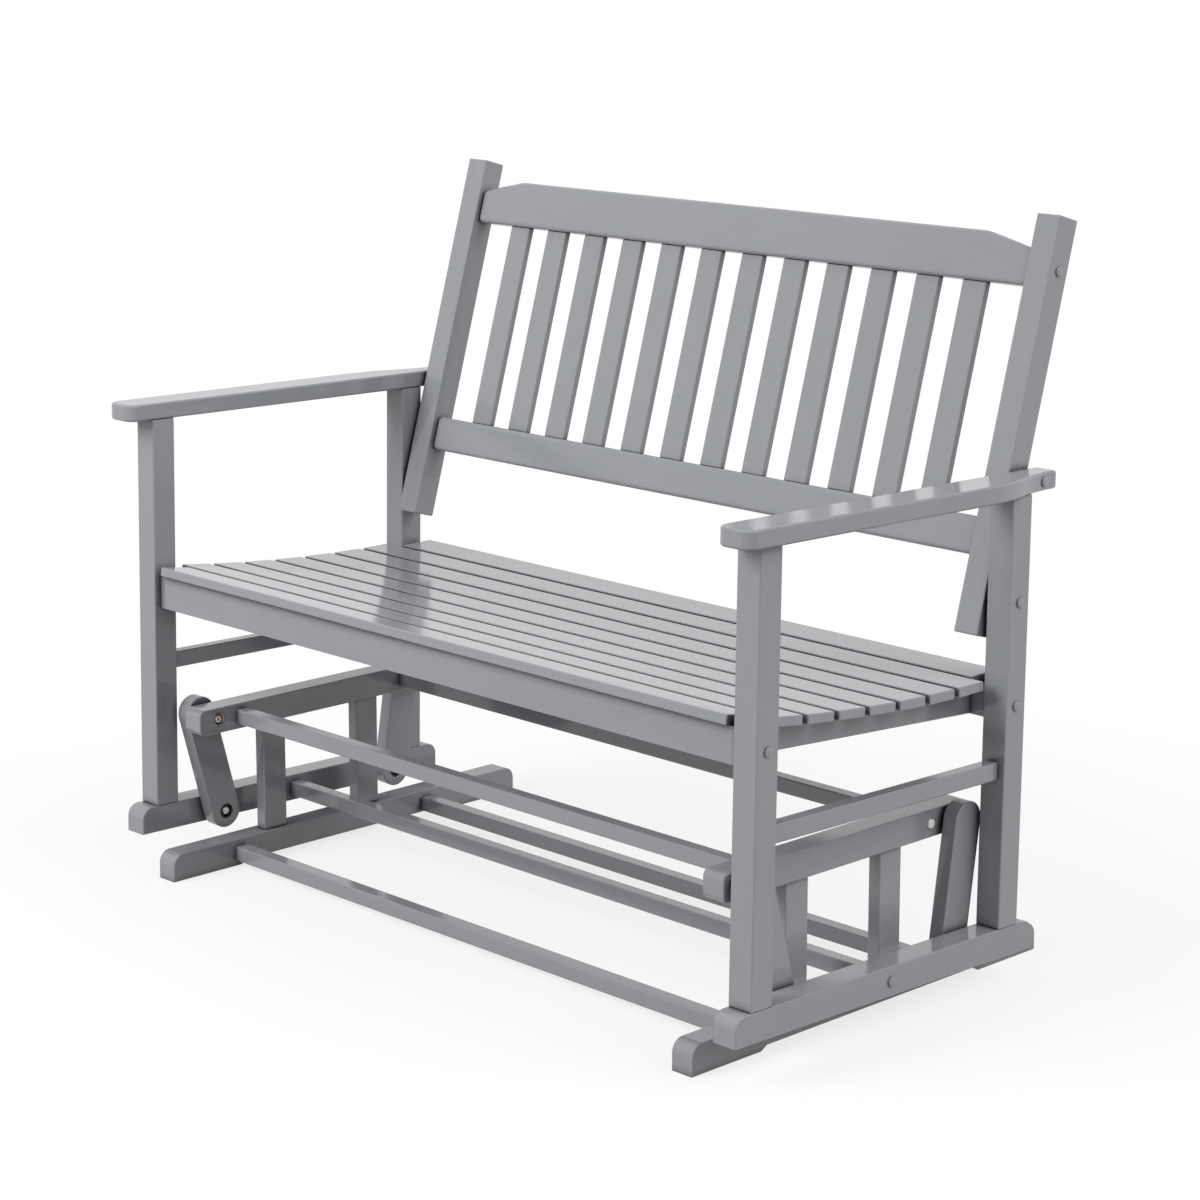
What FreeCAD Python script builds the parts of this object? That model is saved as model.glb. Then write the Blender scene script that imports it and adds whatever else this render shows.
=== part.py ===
"""Two-seat glider bench: a slatted seat hung by four swing arms inside a low wooden base.

Units are millimetres. X runs along the bench, Y runs from front to back, Z is up.
Sizes are written from the front face of the front posts, and each body's placement
moves that plane so that the whole bench is centred on the origin, on the floor.
"left" and "right" are as seen by someone who stands in front of the bench.
"""
import FreeCAD
import Part
import os
import Sketcher

doc = FreeCAD.newDocument("GliderBench")

SIZES = [
    # Seat frame: posts, runners and armrests
    ("seat_opening", 1058, "clear width between the posts"),
    ("post_side", 35, "square stock of the posts"),
    ("frame_depth", 467.5, "front face of the front posts to rear face of the rear posts"),
    ("post_length", 526, "from the runner to the armrest"),
    ("runner_drop", 47, "floor to the underside of the runner"),
    ("runner_height", 36, ""),
    ("runner_front", 24, "overhang ahead of the posts"),
    ("runner_back", 30, "overhang behind the posts"),
    ("end_round", 16, "rounded top corners of runners and skids"),
    ("armrest_thick", 22, ""),
    ("armrest_front", 36.2, "overhang ahead of the posts"),
    ("armrest_back", 50.5, "overhang behind the posts"),
    ("armrest_wide", 51, "width over the straight part"),
    ("armrest_tail", 29, "width at the rear end"),
    ("armrest_taper", 142, "length of the tapered rear end"),
    ("armrest_round", 15, "front corners"),
    ("side_bar_thick", 17, "stretcher between a front and a rear post"),
    ("side_bar_high", 22, ""),
    ("side_bar_level", 266.5, "floor to its underside"),
    ("cross_bar_deep", 18.5, "stretcher between the runners"),
    ("cross_bar_high", 20, ""),
    ("cross_bar_ahead", 2.5, "its middle, ahead of the middle of the base"),
    # Seat
    ("apron_thick", 18, ""),
    ("front_apron_level", 355.5, "floor to its lower edge"),
    ("rear_apron_level", 336.5, "floor to its lower edge"),
    ("seat_level", 386.5, "floor to the slats' tops at the lowest place"),
    ("seat_low_place", 371, "where the seat curve is lowest"),
    ("seat_curve", 2590, "radius of the seat's curve"),
    ("slat_count", 9, ""),
    ("slat_wide", 45, ""),
    ("rear_slat_wide", 50, ""),
    ("slat_thick", 12, ""),
    ("slat_overhang", 6.5, "last slat's rear edge, behind the rear posts"),
    ("slat_long", 1084, "slats that reach past the posts"),
    ("end_slat_long", 1034, "first and last slats, between the posts"),
    ("seat_rail_thick", 18, ""),
    ("seat_rail_place", 494, "middle of a side seat rail, from the bench's middle"),
    # Back
    ("recline", 15, "angle of the back from upright, degrees"),
    ("stile_wide", 35, ""),
    ("stile_deep", 35, ""),
    ("stile_long", 508, ""),
    ("stile_gap", 5, "stile to post, bridged by spacers"),
    ("stile_spacer", 9, "radius of the spacers"),
    ("stile_screw_level", 481.5, "screw from the rear post into the stile"),
    ("armrest_screw_behind", 26.5, "screw from the armrest into the stile, behind the rear posts"),
    ("stile_foot_ahead", 46.2, "stile's lower front corner, ahead of the rear posts' rear face"),
    ("stile_foot_level", 438.3, "stile's lower front corner, above the floor"),
    ("back_rail_thick", 20, ""),
    ("lower_rail_level", 93.5, "along the stile from its foot"),
    ("lower_rail_high", 46.6, ""),
    ("lower_rail_round", 7, "rounded ends of the lower back rail"),
    ("crest_level", 420.8, "along the stile from its foot"),
    ("crest_high", 61.7, "height at the middle"),
    ("crest_end_high", 44.9, "height at the stiles"),
    ("crest_slope_long", 74, "length of the sloping shoulders"),
    ("crest_round", 7, "rounded ends of the crest rail"),
    ("shoulder_round", 60, "where the crest's top turns down"),
    ("back_slat_count", 12, ""),
    ("back_slat_wide", 37, ""),
    ("back_slat_thick", 9, ""),
    ("back_slat_pitch", 73.7, ""),
    # Base
    ("rail_thick", 33, "skids and hanger rails, across the bench"),
    ("rail_high", 35, "hanger rail"),
    ("rail_long", 427, "hanger rail"),
    ("rail_level", 190.5, "floor to the hanger rail's underside"),
    ("rail_round", 9, "rounded ends of the hanger rails"),
    ("base_set", 5.75, "middle of the hanger rails, behind the middle of the posts"),
    ("skid_high", 37, ""),
    ("skid_front", 22.5, "skid's front end ahead of the posts' front face"),
    ("skid_back", 590.5, "skid's rear end behind the posts' front face"),
    ("foot_front", 91, "end of the front foot"),
    ("foot_back", 481, "start of the rear foot"),
    ("foot_slope", 10, "length of the slope between foot and relief"),
    ("foot_high", 5.5, "relief under the skid"),
    ("base_post_deep", 38, ""),
    ("base_post_thick", 18, ""),
    ("base_post_spread", 163.8, "between the middles of the base posts of one side"),
    ("base_post_ahead", 1.2, "middle of the base posts, ahead of the middle of the hanger rails"),
    ("stretcher_deep", 18, "upper stretchers"),
    ("stretcher_high", 20, ""),
    ("stretcher_spread", 286.6, "between the middles of the upper stretchers"),
    ("low_stretcher_deep", 20, "lower stretchers"),
    ("low_stretcher_level", 8, "floor to the lower stretchers"),
    ("low_front_place", 90, "middle of the lower front stretcher"),
    ("low_rear_place", 421.5, "middle of the lower rear stretcher"),
    # Swing arms and their pivots
    ("pivot_above", 2, "upper pivots, above the middle of the hanger rails"),
    ("arm_long", 149, "pivot to pivot"),
    ("arm_wide", 46, ""),
    ("arm_thick", 21, ""),
    ("upper_spread", 364.4, "between the upper pivots"),
    ("lower_spread", 303, "between the lower pivots"),
    ("hang_back", 8, "how far the seat hangs behind the middle when it is at rest"),
    ("seat_lean", 1, "how far the hanging seat leans back from level, degrees"),
    ("upper_gap", 6, "hanger rail to arm"),
    ("lower_gap", 5, "arm to runner"),
    ("pivot_radius", 4, "pivot bolt's shank"),
    ("running_fit", 0.08, "radial clearance of a bolt that something turns on"),
    ("fixed_fit", 0.1, "radial clearance of a bolt that is screwed home"),
    ("side_gap", 0.3, "clearance along a pivot"),
    ("loop_play", 4.2, "room for the rear pivots' bolts in the runners"),
    ("spacer_radius", 10, ""),
    ("pivot_head_radius", 6.2, ""),
    ("pivot_head_high", 4, ""),
    ("upper_sink_radius", 7.4, "recess for the head in the hanger rail"),
    ("lower_sink_radius", 9, "recess for the head in the arm"),
    ("lower_sink_deep", 8, ""),
    ("arm_skin", 4, "wood left under the blind hole at an arm's upper end"),
    ("runner_hole", 25, "depth of the lower pivot's hole in the runner"),
    # Softened edges
    ("edge_bevel", 1.1, "eased edges of the boards"),
    ("armrest_bevel", 2, "eased edges of the armrests"),
    ("crest_bevel", 3, "eased edges of the crest rail"),
    ("slat_bevel", 0.9, "eased edges of the back slats"),
]

sheet = doc.addObject("Spreadsheet::Sheet", "Sizes")
for row, (alias, number, note) in enumerate(SIZES, start=1):
    sheet.set("A%d" % row, alias)
    sheet.set("B%d" % row, str(number))
    sheet.set("C%d" % row, note)
    sheet.setAlias("B%d" % row, alias)
doc.recompute()


class Sizes:
    """Gives each size of the sheet as a term for an expression: S.post_side is "Sizes.post_side"."""

    def __getattr__(self, alias):
        return "Sizes." + alias


S = Sizes()
AXES = {"x": FreeCAD.Vector(1, 0, 0), "y": FreeCAD.Vector(0, 1, 0), "z": FreeCAD.Vector(0, 0, 1)}
LEFT = -1
RIGHT = 1
SIDES = ((LEFT, "left"), (RIGHT, "right"))
TOUCH = 1e-3  # points nearer than this are one place
SAME_WAY = 0.9999  # the cosine past which two directions are one
LEAST_CUT = 1  # a hole takes at least this many cubic millimetres away
MOSTLY_LEFT = 0.8  # easing the edges leaves at least this share of the wood


def value(term):
    """The number that a term of sizes stands for at present."""
    return float(sheet.evalExpression(term))


# Places that several pieces share, from the bench's middle, the posts' front face and the floor
POST_IN = "(%s / 2)" % S.seat_opening
POST_OUT = "(%s + %s)" % (POST_IN, S.post_side)
ARM_OUT = "(%s - %s)" % (POST_IN, S.lower_gap)
ARM_IN = "(%s - %s)" % (ARM_OUT, S.arm_thick)
BASE_OUT = "(%s - %s)" % (ARM_IN, S.upper_gap)
BASE_IN = "(%s - %s)" % (BASE_OUT, S.rail_thick)
BASE_MID = "(%s - %s / 2)" % (BASE_OUT, S.rail_thick)
REAR_POST = "(%s - %s)" % (S.frame_depth, S.post_side)
RUNNER_TOP = "(%s + %s)" % (S.runner_drop, S.runner_height)
RUNNER_MID = "(%s + %s / 2)" % (S.runner_drop, S.runner_height)
ARMREST_LOW = "(%s + %s)" % (RUNNER_TOP, S.post_length)
RAIL_MID = "(%s + %s / 2)" % (S.rail_level, S.rail_high)
PIVOT_LEVEL = "(%s + %s)" % (RAIL_MID, S.pivot_above)
APRON_FRONT = "((%s - %s) / 2)" % (S.post_side, S.apron_thick)
APRON_INNER = "(%s + %s)" % (APRON_FRONT, S.apron_thick)
REAR_APRON = "(%s + (%s - %s) / 2)" % (REAR_POST, S.post_side, S.apron_thick)
STILE_OUT = "(%s - %s)" % (POST_IN, S.stile_gap)
STILE_IN = "(%s - %s)" % (STILE_OUT, S.stile_wide)
BASE_MIDDLE = "(%s / 2 + %s)" % (S.frame_depth, S.base_set)
CROSS_BAR_PLACE = "(%s - %s)" % (BASE_MIDDLE, S.cross_bar_ahead)
STILE_FOOT_PLACE = "(%s - %s)" % (S.frame_depth, S.stile_foot_ahead)

# The seat's curve: slats lie on rails whose tops are an arc about an axis high above the seat
RAIL_CURVE = "(%s + %s)" % (S.seat_curve, S.slat_thick)
CURVE_AXIS = "(%s + %s)" % (S.seat_level, S.seat_curve)
SLAT_SEAT = "(%s - %s)" % (RAIL_CURVE, S.side_gap)


def under_slats(place):
    """Height of the seat rails' curved top at a place along Y."""
    return "(%s - sqrt((%s)^2 - (%s - %s)^2))" % (CURVE_AXIS, RAIL_CURVE, place, S.seat_low_place)


# Pivots: the upper pair is fixed in the hanger rails, the lower pair hangs from it
UPPER_FRONT = "(%s - %s / 2)" % (BASE_MIDDLE, S.upper_spread)
UPPER_REAR = "(%s + %s / 2)" % (BASE_MIDDLE, S.upper_spread)
LOWER_FRONT = "(%s + %s - %s / 2)" % (BASE_MIDDLE, S.hang_back, S.lower_spread)
LOWER_REAR = "(%s + %s + %s / 2)" % (BASE_MIDDLE, S.hang_back, S.lower_spread)


def arm_angle(upper, lower):
    """Angle from plumb of an arm that hangs from upper to lower, positive towards the back."""
    return "asin((%s - %s) / %s)" % (lower, upper, S.arm_long)


def hanging_level(upper, lower):
    """Height of the lower pivot of an arm that hangs from upper to lower."""
    return "(%s - sqrt((%s)^2 - (%s - %s)^2))" % (PIVOT_LEVEL, S.arm_long, lower, upper)


class Frame:
    """A placement that several bodies share: an origin and a turn about X, as terms of sizes."""

    def __init__(self, place, level, turn):
        self.place, self.level, self.turn = place, level, turn

    def spot(self, place, level):
        """Where a point of this frame stands on the bench."""
        return (
            "(%s + %s * cos(%s) - %s * sin(%s))" % (self.place, place, self.turn, level, self.turn),
            "(%s + %s * sin(%s) + %s * cos(%s))" % (self.level, place, self.turn, level, self.turn))

    def inside(self, place, level):
        """Where a point of the bench lies in this frame."""
        behind = "(%s - %s)" % (place, self.place)
        above = "(%s - %s)" % (level, self.level)
        return (
            "(%s * cos(%s) + %s * sin(%s))" % (behind, self.turn, above, self.turn),
            "(%s * cos(%s) - %s * sin(%s))" % (above, self.turn, behind, self.turn))

    def hold(self, body):
        body.Placement = FreeCAD.Placement(FreeCAD.Vector(), FreeCAD.Rotation(AXES["x"], 1))
        body.setExpression("Placement.Rotation.Angle", self.turn)
        body.setExpression("Placement.Base.y", "%s - %s" % (self.place, BENCH_MIDDLE))
        body.setExpression("Placement.Base.z", self.level)


BENCH = Frame("0", "0", "0")
FRONT_ARM = Frame(UPPER_FRONT, PIVOT_LEVEL, arm_angle(UPPER_FRONT, LOWER_FRONT))
REAR_ARM = Frame(UPPER_REAR, PIVOT_LEVEL, arm_angle(UPPER_REAR, LOWER_REAR))

# The hanging seat frame leans back a little, about the middle of its runners
LEAN = "(-%s * 1 deg)" % S.seat_lean
SEAT = Frame(
    "(%s * (1 - cos(%s)) + %s * sin(%s))" % (BASE_MIDDLE, LEAN, RUNNER_MID, LEAN),
    "(%s * (1 - cos(%s)) - %s * sin(%s))" % (RUNNER_MID, LEAN, BASE_MIDDLE, LEAN),
    LEAN)
BACK = Frame(*SEAT.spot(STILE_FOOT_PLACE, S.stile_foot_level), "(%s - %s * 1 deg)" % (LEAN, S.recline))
FRONT_END, _ = SEAT.spot("(-%s)" % S.armrest_front, "(%s + %s)" % (ARMREST_LOW, S.armrest_bevel))
REAR_END, _ = BACK.spot(S.stile_deep, "(%s - %s)" % (S.stile_long, S.edge_bevel))
BENCH_MIDDLE = "((%s + %s) / 2)" % (FRONT_END, REAR_END)


def across(side, near, far):
    """Start and length along X of something between two distances from the middle, on one side."""
    start = near if side == RIGHT else "-%s" % far
    return start, "(%s - %s)" % (far, near)


def new_body(label, frame):
    body = doc.addObject("PartDesign::Body", label)
    body.Label = label
    frame.hold(body)
    return body


def bind(feature, terms):
    for name, term in terms.items():
        feature.setExpression(name, term)


def add_box(body, start, size):
    box = body.newObject("PartDesign::AdditiveBox", body.Name + "_stock")
    bind(box, dict(zip(("Length", "Width", "Height"), size)))
    bind(box, dict(zip(("Placement.Base.x", "Placement.Base.y", "Placement.Base.z"), start)))
    doc.recompute()
    return box


def rod(body, kind, name, start, length, place, level, radius):
    """A cylinder along X, added to a body or taken away from it."""
    piece = body.newObject("PartDesign::%sCylinder" % kind, body.Name + "_" + name)
    piece.Placement = FreeCAD.Placement(FreeCAD.Vector(), FreeCAD.Rotation(AXES["y"], 90))
    bind(piece, {"Radius": radius, "Height": length, "Placement.Base.x": start,
                 "Placement.Base.y": place, "Placement.Base.z": level})
    doc.recompute()
    return piece


def bore(body, name, start, length, place, level, radius):
    """A hole along X; it has to take wood away."""
    before = body.Shape.Volume
    rod(body, "Subtractive", name, start, length, place, level, radius)
    assert body.Shape.Volume < before - LEAST_CUT, "%s: %s cuts nothing" % (body.Label, name)


def straight_along(edge, axis):
    return isinstance(edge.Curve, Part.Line) and abs(edge.Curve.Direction.dot(axis)) > SAME_WAY


def edge_names(shape, wanted):
    return ["Edge%d" % number for number, edge in enumerate(shape.Edges, start=1) if wanted(edge)]


DRESSING = {"Fillet": "Radius", "Chamfer": "Size"}


def dress(body, kind, name, edges, term):
    """A fillet or chamfer on named edges of the body's last feature; it takes a little wood away."""
    base = body.Tip
    before = base.Shape.Volume
    feature = body.newObject("PartDesign::" + kind, body.Name + "_" + name)
    feature.Base = (base, edges)
    feature.setExpression(DRESSING[kind], term)
    doc.recompute()
    after = feature.Shape.Volume
    assert before * MOSTLY_LEFT < after < before, "%s: %s leaves %.0f of %.0f" % (
        body.Label, name, after, before)


def in_plane(edge, axis, level):
    return all(abs(point.dot(axis) - level) < TOUCH for point in edge.discretize(3))


def face_edges(body, axis, low, high):
    """The edges round the two faces of a board that are square to an axis."""
    return edge_names(body.Tip.Shape,
                      lambda edge: in_plane(edge, axis, low) or in_plane(edge, axis, high))


def board(label, start, size, frame=SEAT, bevel=S.edge_bevel):
    """A sawn board with all its edges eased."""
    body = new_body(label, frame)
    box = add_box(body, start, size)
    dress(body, "Chamfer", "edges", edge_names(box.Shape, lambda edge: True), bevel)
    return body


PLANES = {"x": "YZ_Plane", "y": "XZ_Plane", "z": "XY_Plane"}


def sketch_on(body, normal, start, thick):
    """A sketch square to an axis. The XZ plane looks towards -Y, so there a pad starts at its far side."""
    offset = "-(%s + %s)" % (start, thick) if normal == "y" else start
    sketch = body.newObject("Sketcher::SketchObject", body.Name + "_outline")
    plane = [item for item in body.Origin.OriginFeatures if item.Role == PLANES[normal]][0]
    sketch.AttachmentSupport = [(plane, "")]
    sketch.MapMode = "FlatFace"
    sketch.setExpression("AttachmentOffset.Base.z", offset)
    return sketch


def outline(sketch, corners, arcs):
    """A closed outline through named corners. arcs gives, for the side that starts at a corner, its
    radius and on which hand its centre lies (1 left, -1 right) for someone who walks round."""
    names = list(corners)
    points = [FreeCAD.Vector(value(u), value(v), 0) for u, v in corners.values()]
    following = points[1:] + points[:1]
    ends = []
    for name, start, end in zip(names, points, following):
        if name not in arcs:
            sketch.addGeometry(Part.LineSegment(start, end), False)
            ends.append((1, 2))
            continue
        radius, hand = value(arcs[name][0]), arcs[name][1]
        chord = end - start
        rise = (radius ** 2 - (chord.Length / 2) ** 2) ** 0.5
        normal = FreeCAD.Vector(-chord.y, chord.x, 0).normalize() * hand
        centre = (start + end) * 0.5 + normal * rise
        middle = centre - normal * radius
        if hand > 0:
            sketch.addGeometry(Part.Arc(start, middle, end), False)
            ends.append((1, 2))
        else:
            sketch.addGeometry(Part.Arc(end, middle, start), False)
            ends.append((2, 1))
    for number, (leave, arrive) in enumerate(ends):
        after = (number + 1) % len(ends)
        sketch.addConstraint(Sketcher.Constraint("Coincident", number, arrive, after, ends[after][0]))
    for number, name in enumerate(names):
        for kind, term in zip(("DistanceX", "DistanceY"), corners[name]):
            place = sketch.addConstraint(
                Sketcher.Constraint(kind, -1, 1, number, ends[number][0], value(term)))
            sketch.setExpression("Constraints[%d]" % place, term)
        if name in arcs:
            radius, hand = arcs[name]
            place = sketch.addConstraint(Sketcher.Constraint("Radius", number, value(radius)))
            sketch.setExpression("Constraints[%d]" % place, radius)


def shaped(label, normal, corners, start, thick, frame=SEAT, arcs=None, rounds=None,
           bevel=S.edge_bevel):
    """A board sawn to an outline of named corners. rounds gives the radius of a corner to round."""
    body = new_body(label, frame)
    sketch = sketch_on(body, normal, start, thick)
    outline(sketch, corners, arcs or {})
    pad = body.newObject("PartDesign::Pad", label + "_stock")
    pad.Profile = sketch
    pad.setExpression("Length", thick)
    doc.recompute()
    axis = AXES[normal]
    for corner, radius in (rounds or {}).items():
        u, v = (value(term) for term in corners[corner])
        spot = FreeCAD.Vector(*{"x": (0, u, v), "y": (u, 0, v), "z": (u, v, 0)}[normal])

        def at_corner(edge):
            away = edge.CenterOfMass - spot
            return straight_along(edge, axis) and (away - axis * away.dot(axis)).Length < TOUCH

        dress(body, "Fillet", corner, edge_names(body.Tip.Shape, at_corner), radius)
    low = value(start)
    high = low + value(thick)
    dress(body, "Chamfer", "edges", face_edges(body, axis, low, high), bevel)
    return body


nodes = []


def keep(piece):
    nodes.append(piece)
    return piece


# Base: two skids, four base posts, two hanger rails and four stretchers
SKID_OUTLINE = {
    "toe": ("-" + S.skid_front, "0"),
    "front_foot": (S.foot_front, "0"),
    "front_relief": ("%s + %s" % (S.foot_front, S.foot_slope), S.foot_high),
    "rear_relief": ("%s - %s" % (S.foot_back, S.foot_slope), S.foot_high),
    "rear_foot": (S.foot_back, "0"),
    "heel": (S.skid_back, "0"),
    "top_rear": (S.skid_back, S.skid_high),
    "top_front": ("-" + S.skid_front, S.skid_high),
}
TOP_ROUNDS = {"top_rear": S.end_round, "top_front": S.end_round}


def four_corners(front, rear, low, high):
    return {
        "low_front": (front, low),
        "low_rear": (rear, low),
        "top_rear": (rear, high),
        "top_front": (front, high),
    }


RAIL_OUTLINE = four_corners(
    "(%s - %s / 2)" % (BASE_MIDDLE, S.rail_long),
    "(%s + %s / 2)" % (BASE_MIDDLE, S.rail_long),
    S.rail_level,
    "(%s + %s)" % (S.rail_level, S.rail_high))
PIVOTS = {
    "front": (UPPER_FRONT, LOWER_FRONT, FRONT_ARM),
    "rear": (UPPER_REAR, LOWER_REAR, REAR_ARM),
}
HEAD_FLOOR = "(%s + %s)" % (BASE_IN, S.pivot_head_high)

for side, name in SIDES:
    start, thick = across(side, BASE_IN, BASE_OUT)
    keep(shaped("skid_" + name, "x", SKID_OUTLINE, start, thick, BENCH, rounds=TOP_ROUNDS))
    rail = keep(shaped("hanger_rail_" + name, "x", RAIL_OUTLINE, start, thick, BENCH,
                       rounds=dict.fromkeys(RAIL_OUTLINE, S.rail_round)))
    for end, (upper, lower, frame) in PIVOTS.items():
        bore(rail, end + "_pivot", start, thick, upper, PIVOT_LEVEL,
             "%s + %s" % (S.pivot_radius, S.fixed_fit))
        sink_start, sink_deep = across(side, BASE_IN, HEAD_FLOOR)
        bore(rail, end + "_recess", sink_start, sink_deep, upper, PIVOT_LEVEL, S.upper_sink_radius)
    for hand, end in ((-1, "front"), (1, "rear")):
        post_start, post_thick = across(
            side,
            "(%s - %s / 2)" % (BASE_MID, S.base_post_thick),
            "(%s + %s / 2)" % (BASE_MID, S.base_post_thick))
        middle = "(%s - %s + %d * %s / 2)" % (BASE_MIDDLE, S.base_post_ahead, hand, S.base_post_spread)
        keep(board("base_post_%s_%s" % (end, name),
                   (post_start, "%s - %s / 2" % (middle, S.base_post_deep), S.skid_high),
                   (post_thick, S.base_post_deep, "%s - %s" % (S.rail_level, S.skid_high)), BENCH))

UPPER_STRETCHERS = {
    "front": "(%s - %s / 2)" % (BASE_MIDDLE, S.stretcher_spread),
    "rear": "(%s + %s / 2)" % (BASE_MIDDLE, S.stretcher_spread),
}
LOWER_STRETCHERS = {"front": S.low_front_place, "rear": S.low_rear_place}


def cross_board(label, inner, middle, deep, level, high, frame):
    """A board along X between the inner faces of two side pieces."""
    return keep(board(label,
                      ("-" + inner, "%s - %s / 2" % (middle, deep), level),
                      ("2 * " + inner, deep, high), frame))


for end in ("front", "rear"):
    cross_board("upper_stretcher_" + end, BASE_IN, UPPER_STRETCHERS[end], S.stretcher_deep,
                "%s - %s / 2" % (RAIL_MID, S.stretcher_high), S.stretcher_high, BENCH)
    cross_board("lower_stretcher_" + end, BASE_IN, LOWER_STRETCHERS[end], S.low_stretcher_deep,
                S.low_stretcher_level, S.stretcher_high, BENCH)

# Swing arms: flat bars with full-round ends, drawn hanging plumb from their upper pivot
for side, name in SIDES:
    start, thick = across(side, ARM_IN, ARM_OUT)
    blind_start, blind_deep = across(side, ARM_IN, "(%s - %s)" % (ARM_OUT, S.arm_skin))
    sink_start, sink_deep = across(side, ARM_IN, "(%s + %s)" % (ARM_IN, S.lower_sink_deep))
    for end, (upper, lower, frame) in PIVOTS.items():
        arm = keep(new_body("swing_arm_%s_%s" % (end, name), frame))
        add_box(arm, (start, "-%s / 2" % S.arm_wide, "-" + S.arm_long), (thick, S.arm_wide, S.arm_long))
        for tip, level in (("top", "0"), ("bottom", "-" + S.arm_long)):
            rod(arm, "Additive", tip, start, thick, "0", level, "%s / 2" % S.arm_wide)
        low = value(start)
        high = low + value(thick)
        dress(arm, "Chamfer", "edges", face_edges(arm, AXES["x"], low, high), S.edge_bevel)
        bore(arm, "upper_hole", blind_start, blind_deep, "0", "0",
             "%s + %s" % (S.pivot_radius, S.running_fit))
        bore(arm, "lower_hole", start, thick, "0", "-" + S.arm_long,
             "%s + %s" % (S.pivot_radius, S.running_fit))
        bore(arm, "lower_recess", sink_start, sink_deep, "0", "-" + S.arm_long, S.lower_sink_radius)

# Seat frame: runners, posts, armrests and the bars between them
RUNNER_OUTLINE = four_corners(
    "-" + S.runner_front,
    "(%s + %s)" % (S.frame_depth, S.runner_back),
    S.runner_drop,
    RUNNER_TOP)
ARMREST_END = "(%s + %s)" % (S.frame_depth, S.armrest_back)
TAPER_START = "(%s - %s)" % (ARMREST_END, S.armrest_taper)
TAPER_MID = "(%s - %s / 2)" % (ARMREST_END, S.armrest_taper)
TAPER_STEP = "((%s - %s) / 2)" % (S.armrest_wide, S.armrest_tail)
TAPER_CURVE = "(((%s / 2)^2 + (%s)^2) / (2 * %s))" % (S.armrest_taper, TAPER_STEP, TAPER_STEP)


def armrest_outline(side):
    """From the inner front corner round to the inner rear corner; the outer edge tapers in an S."""
    def out(width):
        return "%d * (%s + %s)" % (side, POST_IN, width)
    return {
        "inner_front": (out("0"), "-" + S.armrest_front),
        "outer_front": (out(S.armrest_wide), "-" + S.armrest_front),
        "taper_start": (out(S.armrest_wide), TAPER_START),
        "taper_middle": (out("(%s + %s) / 2" % (S.armrest_wide, S.armrest_tail)), TAPER_MID),
        "outer_rear": (out(S.armrest_tail), ARMREST_END),
        "inner_rear": (out("0"), ARMREST_END),
    }


for side, name in SIDES:
    start, thick = across(side, POST_IN, POST_OUT)
    runner = keep(shaped("runner_" + name, "x", RUNNER_OUTLINE, start, thick, rounds=TOP_ROUNDS))
    hole_start, hole_deep = across(side, POST_IN, "(%s + %s)" % (POST_IN, S.runner_hole))
    for end, room in (("front", S.fixed_fit), ("rear", S.loop_play)):
        upper, lower, frame = PIVOTS[end]
        place, level = SEAT.inside(lower, hanging_level(upper, lower))
        bore(runner, end + "_pivot", hole_start, hole_deep, place, level,
             "%s + %s" % (S.pivot_radius, room))
    for end, place in (("front", "0"), ("rear", REAR_POST)):
        keep(board("post_%s_%s" % (end, name), (start, place, RUNNER_TOP),
                   (thick, S.post_side, S.post_length)))
    keep(shaped("armrest_" + name, "z", armrest_outline(side), ARMREST_LOW, S.armrest_thick,
                arcs={"taper_start": (TAPER_CURVE, side), "taper_middle": (TAPER_CURVE, -side)},
                rounds={"inner_front": S.armrest_round, "outer_front": S.armrest_round},
                bevel=S.armrest_bevel))
    bar_start, bar_thick = across(
        side,
        "(%s + (%s - %s) / 2)" % (POST_IN, S.post_side, S.side_bar_thick),
        "(%s + (%s + %s) / 2)" % (POST_IN, S.post_side, S.side_bar_thick))
    keep(board("side_bar_" + name, (bar_start, S.post_side, S.side_bar_level),
               (bar_thick, "%s - %s" % (REAR_POST, S.post_side), S.side_bar_high)))

cross_board("cross_bar", POST_IN, CROSS_BAR_PLACE, S.cross_bar_deep,
            "%s - %s / 2" % (RUNNER_MID, S.cross_bar_high), S.cross_bar_high, SEAT)


# Seat: aprons with sloping tops, curved seat rails and the slats that lie on them
def under_the_seat(front, back, front_level, back_level):
    """The outline of a piece whose top carries the slats."""
    return {
        "low_front": (front, front_level),
        "low_rear": (back, back_level),
        "top_rear": (back, under_slats(back)),
        "top_front": (front, under_slats(front)),
    }


def apron(label, front, level):
    back = "(%s + %s)" % (front, S.apron_thick)
    corners = under_the_seat(front, back, level, level)
    keep(shaped(label, "x", corners, "-" + POST_IN, "2 * " + POST_IN))


apron("front_apron", APRON_FRONT, S.front_apron_level)
apron("rear_apron", REAR_APRON, S.rear_apron_level)
SEAT_RAIL_OUTLINE = under_the_seat(APRON_INNER, REAR_APRON, S.front_apron_level, S.rear_apron_level)
for name, middle in (("left", "-" + S.seat_rail_place), ("middle", "0"), ("right", S.seat_rail_place)):
    keep(shaped("seat_rail_" + name, "x", SEAT_RAIL_OUTLINE,
                "(%s - %s / 2)" % (middle, S.seat_rail_thick), S.seat_rail_thick,
                arcs={"top_rear": (RAIL_CURVE, -1)}))

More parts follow.
